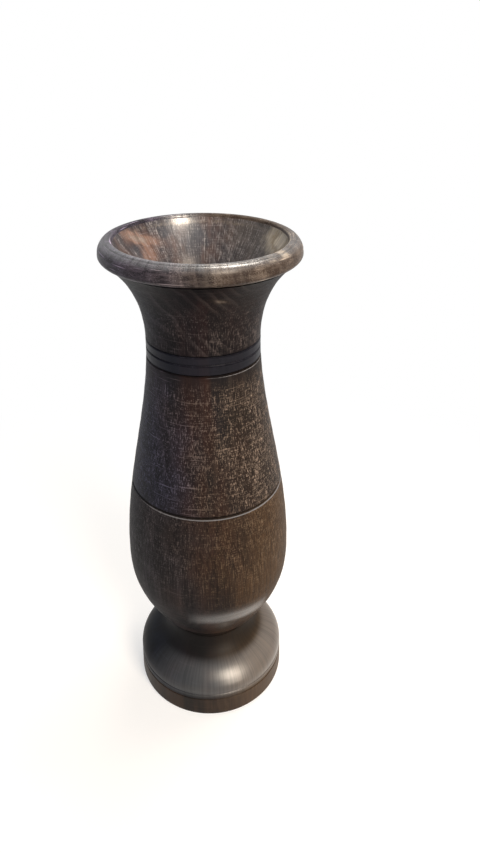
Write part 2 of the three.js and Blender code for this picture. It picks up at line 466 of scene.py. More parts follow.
@dataclass
class Section:
    """One turned section, as an outline that leads out of the wood, up its outside and back in."""

    node: str
    slot: str
    start: tuple[Point | Stations, ...]
    shown: tuple[Point | Stations, ...]
    back: tuple[Point | Stations, ...]
    body: str = "root"
    turning: HandTurning = HandTurning()
    # worn_and_lit marks real wear and painted highlights on edges that face the lamps
    worn_and_lit: tuple[Mark, ...] = ()
    # shade_marks paint shade into the colour, in grooves, creases, under the lip and round the waist
    shade_marks: tuple[Mark, ...] = ()
    polished: tuple[Mark, ...] = ()

    def outline(self) -> tuple[Stations, np.ndarray]:
        """Joins the three stretches and drops points that repeat the one before them.

        Returns:
            The outline's points and the number of each one's zone.
        """
        stretches = [np.vstack(points) for points in (self.start, self.shown, self.back)]
        points = np.vstack(stretches)
        order = [zone.value for zone in (Zone.HOLLOW, Zone.SHOWN, Zone.HOLLOW)]
        zones = np.repeat(order, [len(stretch) for stretch in stretches])
        keep = np.linalg.norm(np.diff(points, axis=0, prepend=points[:1] + 1), axis=1) > SAME
        if np.linalg.norm(points[0] - points[-1]) < SAME:
            keep[-1] = False
        return points[keep], zones[keep]

    def turn(self, *finishes: "StainedWood") -> Piece:
        """Turns the outline about the Z axis and dresses it.

        A point of the surface is (radius * cos a, radius * sin a, height), for angles a all the way
        round, moved in along the outline's own normal by the hand turning. Points on the axis are
        shared by all angles, and an outline that leaves the axis alone closes on itself.

        Args:
            finishes: finishes in the order of the zones.

        Returns:
            The finished piece, in place of its CAD node.
        """
        outline, zones = self.outline()
        closed = outline[0, 0] > SAME
        along = np.roll(outline, -1, 0) - np.roll(outline, 1, 0)
        if not closed:
            along[0], along[-1] = (1, 0), (-1, 0)
        out = np.column_stack([along[:, 1], -along[:, 0]])
        out /= np.linalg.norm(out, axis=1, keepdims=True)
        angles = np.linspace(0, 2 * np.pi, TURNS, endpoint=False)
        spokes = np.column_stack([np.cos(angles), np.sin(angles), np.zeros(TURNS)])
        axis = np.array([0.0, 0.0, 1.0])
        true, facing = (
            rows[:, :1, None] * spokes + rows[:, 1:, None] * axis for rows in (outline, out)
        )
        depth = np.where((zones == Zone.SHOWN.value)[:, None], self.turning.depth(true), 0.0)
        surface = true - facing * depth[..., None]

        poles = outline[:, 0] < SAME
        sizes = np.where(poles, 1, TURNS)
        index = (np.cumsum(sizes) - sizes)[:, None] + np.where(poles[:, None], 0, np.arange(TURNS))
        shown = np.ones(depth.shape, bool)
        shown[poles, 1:] = False
        nearer, further = (index, np.roll(index, -1, 0)) if closed else (index[:-1], index[1:])
        quads = np.stack([nearer, np.roll(nearer, -1, 1), np.roll(further, -1, 1), further], axis=-1)
        zone_of = np.minimum(np.repeat(zones[: len(quads)], TURNS), len(finishes) - 1)
        faces = [list(dict.fromkeys(face)) for face in quads.reshape(-1, 4).tolist()]

        mesh = bpy.data.meshes.new(self.node)
        mesh.from_pydata((surface[shown] * MM).tolist(), [], faces)
        for finish in finishes:
            mesh.materials.append(finish.material())
        mesh.polygons.foreach_set("material_index", zone_of.astype(np.int32))
        mesh.polygons.foreach_set("use_smooth", np.ones(len(faces), bool))
        mesh.set_sharp_from_angle(angle=math.radians(SHARP))
        # Attributes: real wear with painted highlights, painted shade, and the coat's polish
        for name, marks in (("wear_and_highlight", self.worn_and_lit), ("painted_shade", self.shade_marks), ("polish", self.polished)):
            amount = sum((mark.strength(true) for mark in marks), np.zeros(depth.shape))
            mesh.attributes.new(name, "FLOAT", "POINT").data.foreach_set("value", amount[shown])
        mesh.update()

        piece = put(f"turned_{self.node}", mesh)
        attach(piece, self.body)
        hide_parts(self.node)
        return piece


@dataclass
class Bench:
    """A node tree being filled. Most calls add one node and give back its output."""

    tree: bpy.types.NodeTree

    @classmethod
    def clear(cls, owner: bpy.types.Material | bpy.types.World) -> "Bench":
        """Starts on the nodes of a material or a world.

        Args:
            owner: the material or world, whose old nodes go.

        Returns:
            The empty bench.
        """
        owner.use_nodes = True
        owner.node_tree.nodes.clear()
        return cls(owner.node_tree)

    def node(self, kind: str, feeds: Feeds, **settings: object) -> bpy.types.Node:
        """Adds a node, sets its options and feeds its inputs.

        Args:
            kind: Blender's name of the node type.
            feeds: input names or numbers, each with an output to wire in or a value to set.
            settings: options of the node.

        Returns:
            The node.
        """
        node = self.tree.nodes.new(kind)
        for name, value in settings.items():
            setattr(node, name, value)
        for name, feed in feeds.items():
            if isinstance(feed, Socket):
                self.tree.links.new(feed, node.inputs[name])
            else:
                node.inputs[name].default_value = feed
        return node

    def maths(self, operation: str, *feeds: Feed, clamp: bool = False) -> Socket:
        """Adds a sum of numbers, such as ADD or MULTIPLY_ADD."""
        numbered = dict(enumerate(feeds))
        return self.node("ShaderNodeMath", numbered, operation=operation, use_clamp=clamp).outputs[0]

    def times(self, first: Feed, second: Feed) -> Socket:
        """Multiplies two numbers."""
        return self.maths("MULTIPLY", first, second)

    def vector(self, operation: str, *feeds: Feed) -> Socket:
        """Adds a sum of vectors, whose result may be a number, as with LENGTH."""
        node = self.node("ShaderNodeVectorMath", dict(enumerate(feeds)), operation=operation)
        return node.outputs["Value" if operation in ("LENGTH", "DOT_PRODUCT") else "Vector"]

    def squash(self, place: Feed, shares: Triple) -> Socket:
        """Multiplies each part of a vector by its own share."""
        return self.vector("MULTIPLY", place, shares)

    def join(self, x: Feed, y: Feed, z: Feed) -> Socket:
        """Joins three numbers to a vector."""
        return self.node("ShaderNodeCombineXYZ", {0: x, 1: y, 2: z}).outputs[0]

    def split(self, place: Feed) -> tuple[Socket, ...]:
        """Splits a vector into its three parts."""
        return tuple(self.node("ShaderNodeSeparateXYZ", {0: place}).outputs)

    def here(self) -> Socket:
        """Reads the point's own place, in metres."""
        return self.node("ShaderNodeTexCoord", {}).outputs["Object"]

    def mark(self, name: str) -> Socket:
        """Reads one of the piece's own attributes."""
        return self.node("ShaderNodeAttribute", {}, attribute_name=name).outputs["Fac"]

    def noise(
        self, place: Feed, scale: float, detail: float = 1.0, roughness: float = 0.5,
        fourth: Socket | None = None,
    ) -> Socket:
        """Adds smooth noise.

        Args:
            place: where it is read.
            scale: how quickly it changes.
            detail: how many finer noises are added.
            roughness: how strong the finer ones are.
            fourth: where it is read on a fourth axis, if it has one.

        Returns:
            The noise, around 0.5.
        """
        feeds: Feeds = {"Vector": place, "Scale": scale, "Detail": detail, "Roughness": roughness}
        axes = "3D"
        if fourth:
            feeds["W"], axes = fourth, "4D"
        return self.node("ShaderNodeTexNoise", feeds, noise_dimensions=axes).outputs[0]

    def ramp(self, value: Feed, low: float, high: float, start: float = 0.0, end: float = 1.0) -> Socket:
        """Adds a smooth step that goes from start at low to end at high."""
        feeds = {0: value, 1: low, 2: high, 3: start, 4: end}
        return self.node("ShaderNodeMapRange", feeds, interpolation_type="SMOOTHSTEP").outputs[0]

    def blend(self, share: Feed, under: Feed, over: Feed, mode: str = "MIX") -> Socket:
        """Adds a mix of two colours, with share 0 giving the first and 1 the second."""
        feeds = {MIX_SHARE: share, MIX_UNDER: under, MIX_OVER: over}
        return self.node("ShaderNodeMix", feeds, data_type="RGBA", blend_type=mode).outputs[MIX_RESULT]


class SharedEffect(Bench):
    """A shader node group with named sockets, made and filled when it is first used."""

    name: str = ""
    inputs: dict[str, str] = {}
    outputs: tuple[str, ...] = ()

    def __init__(self) -> None:
        """Finds the group, or makes it with its sockets and fills it."""
        known = bpy.data.node_groups.get(self.name)
        super().__init__(known or bpy.data.node_groups.new(self.name, "ShaderNodeTree"))
        if known:
            return
        sockets = [(name, "INPUT", kind) for name, kind in self.inputs.items()]
        for name, side, kind in sockets + [(name, "OUTPUT", "Float") for name in self.outputs]:
            self.tree.interface.new_socket(name=name, in_out=side, socket_type=f"NodeSocket{kind}")
        entry = self.tree.nodes.new("NodeGroupInput").outputs
        leave = self.tree.nodes.new("NodeGroupOutput").inputs
        for name, output in self.fill({name: entry[name] for name in self.inputs}).items():
            self.tree.links.new(output, leave[name])

    def fill(self, given: Sockets) -> Sockets:
        """Fills the group from its inputs and gives its outputs, each effect in its own way."""
        raise NotImplementedError

    def place(self, bench: Bench, feeds: Feeds) -> Sockets:
        """Places the group in a material and gives its outputs by name."""
        node = bench.node("ShaderNodeGroup", feeds, node_tree=self.tree)
        return {name: node.outputs[name] for name in self.outputs}


class WoodFigure(SharedEffect):
    """Growth rings, fibres, upright bands and slow changes of colour in one block of wood.

    The growth rings are cylinders about a pith that lies outside the vase and leans. A slow noise
    bends them, and the late wood of each ring is a thin line.
    """

    name = "wood_figure"
    inputs = {
        "Position": "Vector", "Fibre Position": "Vector", "Pith": "Vector", "Lean": "Vector",
        "Ring Width": "Float",
    }
    outputs = ("Rings", "Fibre", "Patches", "Warmth")

    def fill(self, given: Sockets) -> Sockets:
        """Adds the nodes of the rings, the fibres and the two slow noises.

        Args:
            given: the group's inputs by name.

        Returns:
            The late wood, the fibres and the two noises.
        """
        place = given["Position"]
        z = self.split(place)[2]
        lean = self.vector("MULTIPLY", self.join(z, z, z), given["Lean"])
        bend = self.node("ShaderNodeTexNoise", {"Vector": place, "Scale": 0.03, "Detail": 2.0})
        middled = self.vector("SUBTRACT", bend.outputs[1], (0.5,) * 3)
        pushed = self.squash(middled, (20.0, 20.0, 0.0))
        moved = self.vector("ADD", self.vector("ADD", place, lean), pushed)
        flat = self.squash(self.vector("SUBTRACT", moved, given["Pith"]), LEVEL)
        year = self.maths(
            "FRACT", self.maths("DIVIDE", self.vector("LENGTH", flat), given["Ring Width"])
        )
        late = self.times(self.ramp(year, 0.4, 0.9), self.ramp(year, 0.9, 1.0, 1.0, 0.0))
        faint = self.ramp(self.noise(place, 0.05), 0.4, 0.65)
        upright = self.vector("MULTIPLY_ADD", place, (1.0, 1.0, 0.07), (310.0, 70.0, 20.0))
        fibres = self.squash(given["Fibre Position"], (1.0, 1.0, 0.035))
        return {
            "Rings": self.times(late, faint),
            "Fibre": self.noise(fibres, 1.15, 3.0, 0.6),
            "Patches": self.noise(self.squash(place, (1.0, 1.0, 0.55)), 0.045, 2.0),
            "Warmth": self.noise(upright, 0.1, 2.0),
        }


class LimedPores(SharedEffect):
    """Pale filling left in the open pores: short upright dashes that fine rings cross like a weave.

    A noise stretched upwards makes the dashes. Long upright lines and fine level rings are added to
    it, a slow cloud raises or lowers it, and what stands over a level is as pale as the amount says.
    """

    name = "limed_pores"
    inputs = {"Position": "Vector", "Amount": "Float", "Length": "Float", "Weave": "Float"}
    outputs = ("Mask", "Pits")

    def fill(self, given: Sockets) -> Sockets:
        """Adds the dashes, the lines and rings that cross them, and the clouds that gather them.

        Args:
            given: the group's inputs by name.

        Returns:
            How pale the filling is, and the pits that are left in it.
        """
        place = given["Position"]
        x, y, z = self.split(place)
        short = self.join(x, y, self.maths("DIVIDE", z, given["Length"]))
        dash = self.noise(short, 2.5, 2.0, 0.6)
        rings = self.noise(self.squash(place, (0.11, 0.11, 1.0)), 2.3)
        lines = self.noise(self.squash(place, (1.0, 1.0, 0.03)), 2.1)
        cloud = self.noise(self.squash(place, (1.0, 1.0, 0.3)), 0.16, 2.0, 0.55)
        weave = self.maths("MULTIPLY_ADD", lines, 1.3, self.maths("MULTIPLY_ADD", rings, 0.7, -1.0))
        level = self.maths("MULTIPLY_ADD", weave, given["Weave"], dash)
        level = self.maths("MULTIPLY_ADD", self.maths("SUBTRACT", cloud, 0.5), 0.35, level)
        filled = self.maths("MULTIPLY", self.ramp(level, 0.48, 1.0), given["Amount"], clamp=True)
        return {"Mask": filled, "Pits": self.ramp(dash, 0.52, 0.7)}


class TurningMarks(SharedEffect):
    """Fine rings that the tool and the abrasive leave right round the axis, broken into arcs.

    The noise changes quickly with height and radius and slowly round the axis, so it makes rings on
    upright, sloping and level faces alike.
    """

    name = "turning_marks"
    inputs = {"Position": "Vector"}
    outputs = ("Arcs", "Ridges", "Streaks")

    def fill(self, given: Sockets) -> Sockets:
        """Adds sharp thin arcs, soft ridges and broader streaks.

        Args:
            given: the group's inputs by name.

        Returns:
            The arcs, the ridges and the streaks.
        """
        x, y, z = self.split(given["Position"])
        radius = self.vector("LENGTH", self.squash(given["Position"], LEVEL))

        def ring(across: float, speed: float, detail: float) -> Socket:
            """Adds one noise, with its pace round the axis and along the outline."""
            spot = self.join(self.times(x, across), self.times(y, across), self.times(z, speed))
            return self.noise(spot, 1.0, detail, 0.6, self.times(radius, speed))

        return {
            "Arcs": self.ramp(ring(0.055, 1.7, 1.0), 0.64, 0.74),
            "Ridges": ring(0.03, 1.1, 2.0),
            "Streaks": ring(0.13, 0.55, 2.0),
        }


class WornAndLitEdges(SharedEffect):
    """Where handling has rubbed the stain off, and painted highlights on lit edges: the piece's own wear
    and highlight attribute, broken up by noise.
    """

    name = "worn_and_lit_edges"
    inputs = {"Position": "Vector", "Wear And Highlight": "Float", "Amount": "Float"}
    outputs = ("Mask",)

    def fill(self, given: Sockets) -> Sockets:
        """Adds the noise and the level at which wear and painted highlights show.

        Args:
            given: the group's inputs by name.

        Returns:
            How bare the wood is, and how strong the painted highlights are.
        """
        rough = self.noise(given["Position"], 0.7, 4.0, 0.65)
        broken = self.times(given["Wear And Highlight"], self.maths("MULTIPLY_ADD", rough, 1.6, 0.2))
        bare = self.maths("MULTIPLY", self.ramp(broken, 0.25, 0.75), given["Amount"], clamp=True)
        return {"Mask": bare}


class Knot(SharedEffect):
    """A long knot with a heart, an edge and a glow round it.

    With d the distance from its middle in lengths of its own half axes, bent by noise, the heart is
    where d is under 1, the edge is a band round 1 and the glow fades out beyond it.
    """

    name = "knot"
    inputs = {"Position": "Vector", "Middle": "Vector", "Turn": "Vector", "Size": "Vector"}
    outputs = ("Heart", "Edge", "Glow")

    def fill(self, given: Sockets) -> Sockets:
        """Adds the oval's distance and the masks cut from it.

        Args:
            given: the group's inputs by name.

        Returns:
            The three masks.
        """
        local = self.node("ShaderNodeMapping", {
            "Vector": given["Position"], "Location": given["Middle"], "Rotation": given["Turn"],
            "Scale": given["Size"],
        }, vector_type="TEXTURE").outputs[0]
        uneven = self.maths("SUBTRACT", self.noise(given["Position"], 0.25, 3.0), 0.5)
        bent = self.maths("ADD", self.vector("LENGTH", local), self.times(uneven, 1.2))
        band = self.maths("ABSOLUTE", self.maths("SUBTRACT", bent, 1.0))
        return {
            "Heart": self.ramp(bent, 0.3, 1.1, 1.0, 0.0),
            "Edge": self.ramp(band, 0.05, 0.45, 1.0, 0.0),
            "Glow": self.ramp(bent, 0.6, 2.4, 1.0, 0.0),
        }


@dataclass(frozen=True)
class KnotPlace:
    """Where one knot or bare patch lies, in millimetres, and its colours.

    The amounts say how much of the glow, the heart and the edge shows, in that order.
    """

    middle: Triple
    half_axes: Triple
    turn: Triple
    heart: str
    edge: str
    glow: str
    amounts: Triple

    def lay(self, bench: Bench, place: Socket, under: Feed) -> Feed:
        """Lays the knot over a colour.

        Args:
            bench: the material's nodes.
            place: position in millimetres.
            under: the colour that it lies on.

        Returns:
            The colour with the knot's glow, heart and edge.
        """
        knot = Knot().place(bench, {
            "Position": place, "Middle": self.middle, "Turn": self.turn, "Size": self.half_axes,
        })
        parts = (("Glow", self.glow), ("Heart", self.heart), ("Edge", self.edge))
        for (part, colour), amount in zip(parts, self.amounts):
            under = bench.blend(bench.times(knot[part], amount), under, srgb(colour))
        return under


@dataclass(frozen=True)
class StainedWood:
    """Turned wood under stain and lacquer, with its pores limed and its edges rubbed.

    Colours are written as they look in plain light. The amounts run from 0 to 1. The fade gives four
    heights in millimetres between which the limed pores come and go, and the lean is how much the
    pores grow for each millimetre to the right, the side that the lamps light, which is painted light.
    The golden colour gathers toward the right as well, partly as painted light; the cool colour is a
    painted cool cast on the dim left side; the worn colour also paints highlights on lit edges; and
    the shade colour paints shade into grooves, creases and hollows.
    """

    name: str
    deep: str
    brown: str
    warm: str
    fleck: str
    # Colour of rubbed wood, also laid as painted highlights
    worn_and_lit: str
    # Colour laid heavier toward the right, the side the lamps light: partly random tone, partly painted
    # light
    golden_lit: str = ""
    # Hue laid on the dim left side: a painted cool cast of light
    cool_light_tint: str = ""
    # Colour and amount of the painted shade that the shade_marks lay
    shade_colour: str = "0d0b0a"
    shade_amount: float = 0.85
    grain: Grain = Grain.UPRIGHT
    grain_radius: float = 38.0  # distance from the axis at which fibres along the outline are read
    pith: Triple = (-96.0, -58.0, 0.0)
    ring_lean: Triple = (0.12, -0.05, 0.0)
    knots: tuple[KnotPlace, ...] = ()
    flecks: float = 0.0
    fleck_length: float = 2.2
    weave: float = 0.9
    fade: tuple[float, float, float, float] = (-2.0, -1.0, 400.0, 401.0)
    # How much paler the limed pores get toward the lit right side: painted light
    lean: float = 0.0
    arcs: float = 0.0
    streaks: float = 0.0
    rings: float = 0.05
    ring_width: float = 5.2
    fibre: float = 0.4
    wear_and_highlight: float = 0.8
    roughness: float = 0.45
    specular: float = 0.1
    coat: float = 0.0
    coat_roughness: float = 0.15
    coat_density: float = 1.5
    brushed: float = 0.0
    bump: float = 0.5
    bump_reach: float = 0.25 * MM

    def fibre_place(self, bench: Bench, place: Socket) -> Socket:
        """Finds where the fibres are read.

        Upright fibres are read where they are. Fibres that follow the outline are read at a fixed
        distance from the axis, in the point's own direction, so that they run down a sloping wall.

        Args:
            bench: the material's nodes.
            place: position in millimetres.

        Returns:
            The position that the fibres read.
        """
        if self.grain is Grain.UPRIGHT:
            return place
        way = bench.vector("NORMALIZE", bench.squash(place, LEVEL))
        ring = bench.squash(way, (self.grain_radius, self.grain_radius, 0.0))
        return bench.vector("ADD", ring, bench.squash(place, (0.0, 0.0, 1.0)))

    def shine(self, bench: Bench, fibre: Socket) -> Feed:
        """Works out the polish over the stain, which some of the fibres take less well.

        Args:
            bench: the material's nodes.
            fibre: the fibres.

        Returns:
            How much of the coat there is.
        """
        if not self.coat:
            return 0.0
        taken = bench.ramp(fibre, 0.36, 0.56, self.coat * (1 - self.brushed), self.coat)
        return bench.maths("MULTIPLY", bench.mark("polish"), taken, clamp=True)

    def material(self) -> bpy.types.Material:
        """Builds the material from the shared effects, or finds it if it is built.

        The stain goes from deep to brown with the slow patches, to warm with the second noise and to
        golden toward the right, which is partly painted light from the side that the lamps light. Knots
        lie on it, and fibres darken it. Growth rings, streaks, limed pores and arcs lighten it, the pores
        more on the lit right side as painted light, and the left side takes the hue of the cool colour, a
        painted cool cast of the dim light there. Worn edges with painted highlights on lit edges, and
        painted shade in the grooves, creases and hollows, come last. Pores, ridges and fibres also feed
        the bump.

        Returns:
            The material.
        """
        made = bpy.data.materials.get(self.name)
        if made:
            return made
        made = bpy.data.materials.new(self.name)
        bench = Bench.clear(made)
        place = bench.squash(bench.here(), (1 / MM,) * 3)
        x, _, z = bench.split(place)
        fibres = self.fibre_place(bench, place)
        figure = WoodFigure().place(bench, {
            "Position": place, "Fibre Position": fibres, "Pith": self.pith,
            "Lean": self.ring_lean, "Ring Width": self.ring_width,
        })
        marks = TurningMarks().place(bench, {"Position": place})
        rubbed_and_lit = WornAndLitEdges().place(
            bench, {"Position": place, "Wear And Highlight": bench.mark("wear_and_highlight"), "Amount": self.wear_and_highlight}
        )
        colour: Feed = srgb(self.deep)

        def lay(share: Feed, code: str, mode: str = "MIX") -> None:
            """Lays a colour over what is there, as far as the share says."""
            nonlocal colour
            colour = bench.blend(share, colour, srgb(code), mode)

        lay(bench.ramp(figure["Patches"], 0.36, 0.66), self.brown)
        lay(bench.ramp(figure["Warmth"], 0.36, 0.7), self.warm)
        # Painted light: golden laid heavier toward +X, the side the lamps light; the patches add random
        # tone
        if self.golden_lit:
            right = bench.maths("MULTIPLY_ADD", figure["Patches"], 0.8, bench.times(x, 0.02))
            lay(bench.ramp(right, 0.35, 1.1), self.golden_lit)
        for knot in self.knots:
            colour = knot.lay(bench, place, colour)
        lay(bench.times(bench.ramp(figure["Fibre"], 0.3, 0.7, 1.0, 0.0), self.fibre), self.deep, "MULTIPLY")
        lay(bench.times(figure["Rings"], self.rings), self.fleck)
        if self.streaks:
            lay(bench.times(bench.ramp(marks["Streaks"], 0.42, 0.68), self.streaks), self.fleck)
        height = bench.times(figure["Fibre"], 0.3)
        if self.flecks:
            # Painted light: more limed pores toward +X, the lit side
            right = bench.maths("MAXIMUM", x, 0.0)
            pores = LimedPores().place(bench, {
                "Position": fibres, "Length": self.fleck_length, "Weave": self.weave,
                "Amount": bench.maths("MULTIPLY_ADD", right, self.lean, self.flecks),
            })
            come, full, fall, gone = self.fade
            there = bench.times(bench.ramp(z, come, full), bench.ramp(z, fall, gone, 1.0, 0.0))
            lay(bench.times(pores["Mask"], there), self.fleck)
            height = bench.maths("SUBTRACT", height, bench.times(pores["Pits"], 0.5))
        if self.arcs:
            lay(bench.times(marks["Arcs"], self.arcs), self.fleck)
        # Painted light: the left side, away from the lamps, takes a cool hue
        if self.cool_light_tint:
            left = bench.maths("MULTIPLY_ADD", figure["Patches"], 40.0, x)
            lay(bench.ramp(left, -16.0, 28.0, 1.0, 0.0), self.cool_light_tint, "COLOR")
        # Rubbed wood, and painted highlights on lit groove lips and the lip's inner edge
        lay(rubbed_and_lit["Mask"], self.worn_and_lit)
        # Painted shade: dark colour in grooves, creases and hollows, where shade falls
        lay(bench.times(bench.mark("painted_shade"), self.shade_amount), self.shade_colour)
        height = bench.maths("ADD", height, bench.times(marks["Ridges"], 0.5))
        bump = bench.node("ShaderNodeBump", {
            "Strength": self.bump, "Distance": self.bump_reach, "Height": height,
        }).outputs[0]
        uneven = bench.maths("SUBTRACT", figure["Fibre"], 0.5)
        surface = bench.node("ShaderNodeBsdfPrincipled", {
            "Base Color": colour, "Normal": bump, "Specular IOR Level": self.specular,
            "Roughness": bench.maths("MULTIPLY_ADD", uneven, 0.3, self.roughness, clamp=True),
            "Coat Weight": self.shine(bench, figure["Fibre"]),
            "Coat Roughness": self.coat_roughness, "Coat IOR": self.coat_density,
        })
        bench.node("ShaderNodeOutputMaterial", {"Surface": surface.outputs[0]})
        return made


@dataclass
class Mouth:
    """The rolled lip and the trumpet that it sits on."""

    profile: VaseProfile
    lip_radius: float = 49.9
    bead_width: float = 11.2
    bead_under: float = 2.9
    bead_crown: float = 7.2
    crown_end: float = 97.0  # degrees round the bead at which its inner edge begins
    edge_corner: Point = (0.35, 1.3)  # corner that the inner edge rounds, from the mouth's edge
    lip_spigot_wall: float = 2.6
    crease_radius: float = 46.1
    crease_size: float = 0.3  # its depth, and half its width
    gleam: Bell = Bell((-9.5, 38.0, 299.0), 11.0, 1.2)  # polished part of the back wall

    @property
    def bead_height(self) -> float:
        """Height of the widest part of the lip."""
        return self.profile.flare_top + GLUE + self.bead_under

    def build(self) -> list[Piece]:
        """Builds the lip and the trumpet."""
        return [self.lip(), self.flare()]

    def inside(self, high: float, low: float, pitch: float = 0.3) -> Stations:
        """Takes the mouth's inside between two heights, so that lip and flare meet in one line.

        Args:
            high: height of the first point.
            low: height of the last point.
            pitch: drop from one point to the next, or a little more.

        Returns:
            The points from high to low.
        """
        heights = np.linspace(low, high, max(2, round((high - low) / pitch)))[::-1]
        curve = self.profile.mouth
        return np.column_stack([np.interp(heights, curve[:, 1], curve[:, 0]), heights])

    def lip(self) -> Piece:
        """Turns the lip: a flattened bead with a fine crease on top and a rounded inner edge.

        Returns:
            The finished lip.
        """
        profile, bead, half = self.profile, self.bead_height, self.bead_width / 2
        middle = (self.lip_radius - half, bead)
        rebate = self.lip_radius - self.bead_width + self.lip_spigot_wall + GLUE
        under = self.bead_under + GLUE - SEAM
        foot = bead - under
        edge = profile.mouth_edge
        corner = (edge[0] + self.edge_corner[0], edge[1] + self.edge_corner[1])
        crown = arc(middle, (half, self.bead_crown), 0, self.crown_end, 90)
        away = (crown[:, 0] - self.crease_radius) / self.crease_size
        crown[:, 1] -= self.crease_size * np.exp(-(away**2))
        return Section(
            "lip_ring", "worn_wood",
            start=((rebate, foot),),
            shown=(
                arc(middle, (half, under), -90, 0, 24), crown, bezier(10, crown[-1], corner, edge),
            ),
            back=(self.inside(edge[1], bead), (rebate, bead)),
            turning=HandTurning(
                ridges=((3.1, 0.02), (6.7, 0.03)), oval=0.2,
                dents=(
                    Bell((36.4, -27.4, 304.9), 2.2, 0.5),
                    Bell((33.0, -30.5, 304.6), 1.6, 0.35),
                    Bell((39.5, -22.0, 304.8), 1.8, 0.3),
                    Bell((-20.0, -41.5, 303.6), 2.6, 0.25),
                ),
            ),
            worn_and_lit=(
                # The first hoop is a painted highlight along the front of the inner edge, partly real wear;
                # the bells are worn chips
                Hoop(edge[0] + 0.6, edge[1] + 1.1, 0.7, 0.8, loses=0.9),
                Hoop(self.lip_radius - 2.0, bead + 5.0, 1.6, 0.3, faces=-30, loses=0.8),
                Hoop(edge[0] - 1.2, edge[1] - 2.6, 2.2, 0.4, faces=95, loses=1.0),
                Bell((36.0, -27.4, 304.8), 3.2, 0.9),
                Bell((30.0, -34.0, 304.3), 3.0, 0.4),
            ),
            # Painted shade in the crease on top of the bead and under the bead
            shade_marks=(
                Hoop(self.crease_radius, bead + self.bead_crown - 0.5, 0.35, 0.8),
                Hoop(profile.flare_radius + 0.6, foot + 0.4, 2.0, 0.3),
            ),
            polished=(
                Hoop(self.crease_radius - 0.4, bead + 6.7, 3.2, 1.0, faces=-84.0, loses=1.4, edge=2.0),
                self.gleam,
            ),
        ).turn(LIP_WOOD, FUNNEL_WOOD)

    def flare(self) -> Piece:
        """Turns the trumpet: outside up from the collar, upstand inside the lip, funnel, spigot.

        Returns:
            The finished trumpet.
        """
        profile, bore, spigot = self.profile, self.profile.neck_bore, self.profile.neck_spigot
        end = profile.collar_bottom - profile.neck_spigot_length
        seam = profile.collar_top + SEAM / 2
        upstand = self.lip_radius - self.bead_width + self.lip_spigot_wall
        return Section(
            "neck_flare", "dark_wood",
            start=((bore, end), (spigot, end), (spigot, seam)),
            shown=(profile.skin(seam, profile.flare_top, 0.45),),
            back=(
                (upstand, profile.flare_top), (upstand, self.bead_height),
                self.inside(self.bead_height, profile.mouth_joins),
                profile.hollow(profile.mouth_joins, profile.collar_top, 0.45), (bore, end),
            ),
            worn_and_lit=(Hoop(profile.neck_radius, profile.collar_top + 0.75, 0.5, 0.3, loses=0.5),),
            # Painted shade in the top collar groove and under the lip's bead
            shade_marks=(
                profile.grooves[-1].floor(profile.neck_radius, 0.15),
                Hoop(profile.flare_radius, profile.flare_top - 1.0, 4.5, 0.35),
            ),
            polished=(self.gleam,),
        ).turn(FLARE_WOOD, FUNNEL_WOOD)


@dataclass
class NeckBands:
    """The ebonised collar, with grooves over, between and under its two bands."""

    profile: VaseProfile

    def build(self) -> list[Piece]:
        """Turns the collar, which threads on the neck's spigot.

        Returns:
            The finished collar.
        """
        profile, edge = self.profile, self.profile.neck_radius
        bore = profile.neck_spigot + GLUE
        low, high = profile.collar_bottom + SEAM / 2, profile.collar_top - SEAM / 2
        grooves = profile.grooves[3:]
        collar = Section(
            "neck_collar", "black_band",
            start=((bore, low),), shown=(profile.skin(low, high, 0.3),), back=((bore, high),),
            # Painted light: lighter colour in the groove floors and on their lower lips, against their
            # shade and where they catch light
            worn_and_lit=tuple(Hoop(edge - 0.4, groove.height - 0.1, 0.75, 0.45) for groove in grooves),
            # Faint painted shade in the grooves
            shade_marks=tuple(groove.floor(edge, 0.1) for groove in grooves),
        )
        return [collar.turn(BAND_BLACK)]


